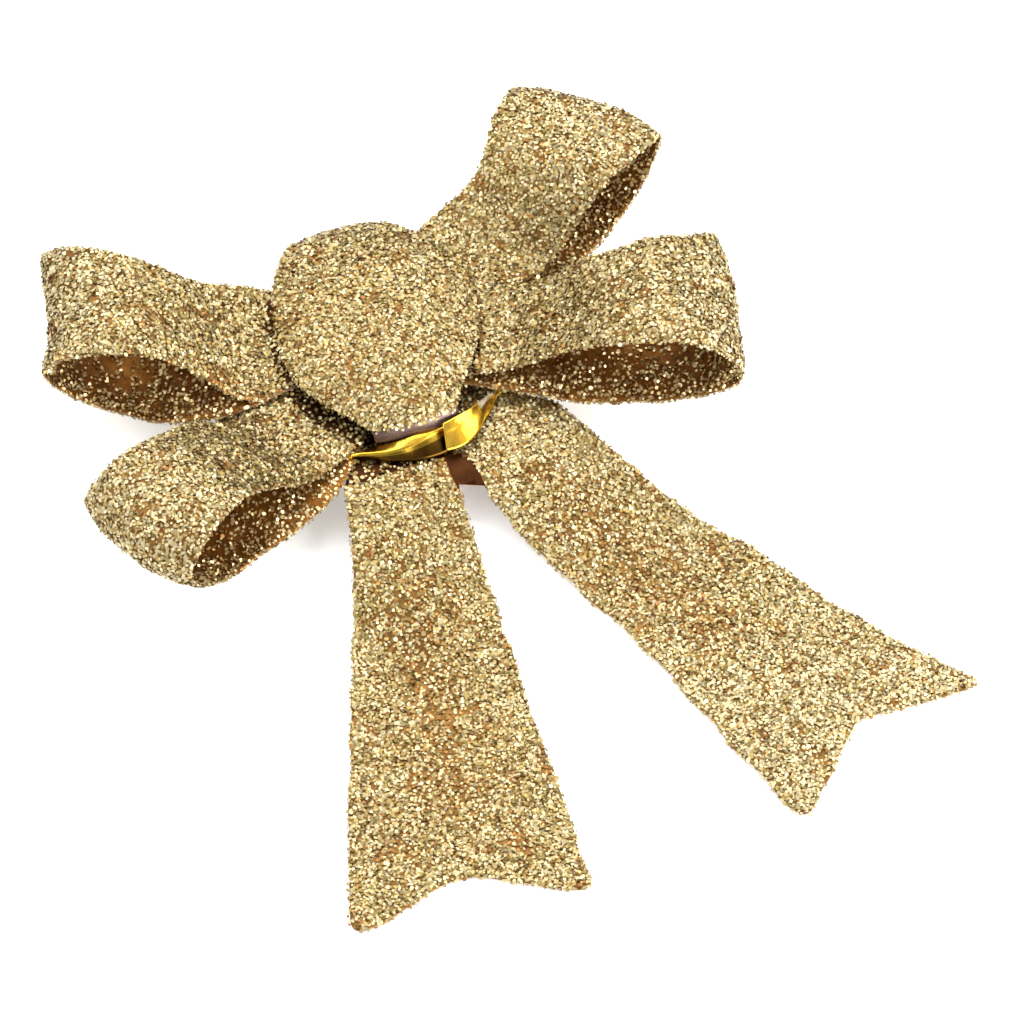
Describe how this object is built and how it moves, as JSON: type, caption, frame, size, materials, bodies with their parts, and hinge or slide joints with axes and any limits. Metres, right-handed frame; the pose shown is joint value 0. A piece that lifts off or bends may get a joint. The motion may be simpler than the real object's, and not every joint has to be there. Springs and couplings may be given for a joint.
{
  "type": "cheer hair bow",
  "caption": "Glitter-ribbon hair bow with crossed open loops, a domed centre knot, two swallow-tailed tails and a hinged barrette clip on its back.",
  "frame": {"origin": "on the surface that the bow lies on, under the middle of its outline", "axes": "+Z leaves the face of the bow, +X runs along the barrette and across the loops, the tails point towards -Y"},
  "size_m": [0.1748, 0.2074, 0.0382],
  "materials": {
    "glitter_ribbon": "glitter-coated polyester film",
    "gold_foil": "metallised foil, mirror gloss",
    "tie_steel": "drawn wire",
    "felt": "pressed felt",
    "glue": "set hot-melt",
    "clip_steel": "nickel-plated sheet steel",
    "pin_steel": "plated"
  },
  "bodies": {
    "bow": {"loop_band_upper": "glitter_ribbon", "loop_band_lower": "glitter_ribbon", "tail_strip": "glitter_ribbon", "knot_strip": "glitter_ribbon", "foil_tie": "gold_foil", "tie_wire": "tie_steel", "felt_backing": "felt", "glue_pads": "glue", "barrette_base": "clip_steel", "tension_bar": "clip_steel", "bar_rivets": "pin_steel", "hinge_pin": "pin_steel"},
    "clasp": {"clasp_arm": "clip_steel"}
  },
  "joints": [
    {"name": "clasp_hinge", "type": "hinge", "parent": "bow", "child": "clasp", "pos_m": [0.02292, 0.05351, 0.003], "axis": [0, -1, 0], "range_deg": [0, 95]}
  ]
}
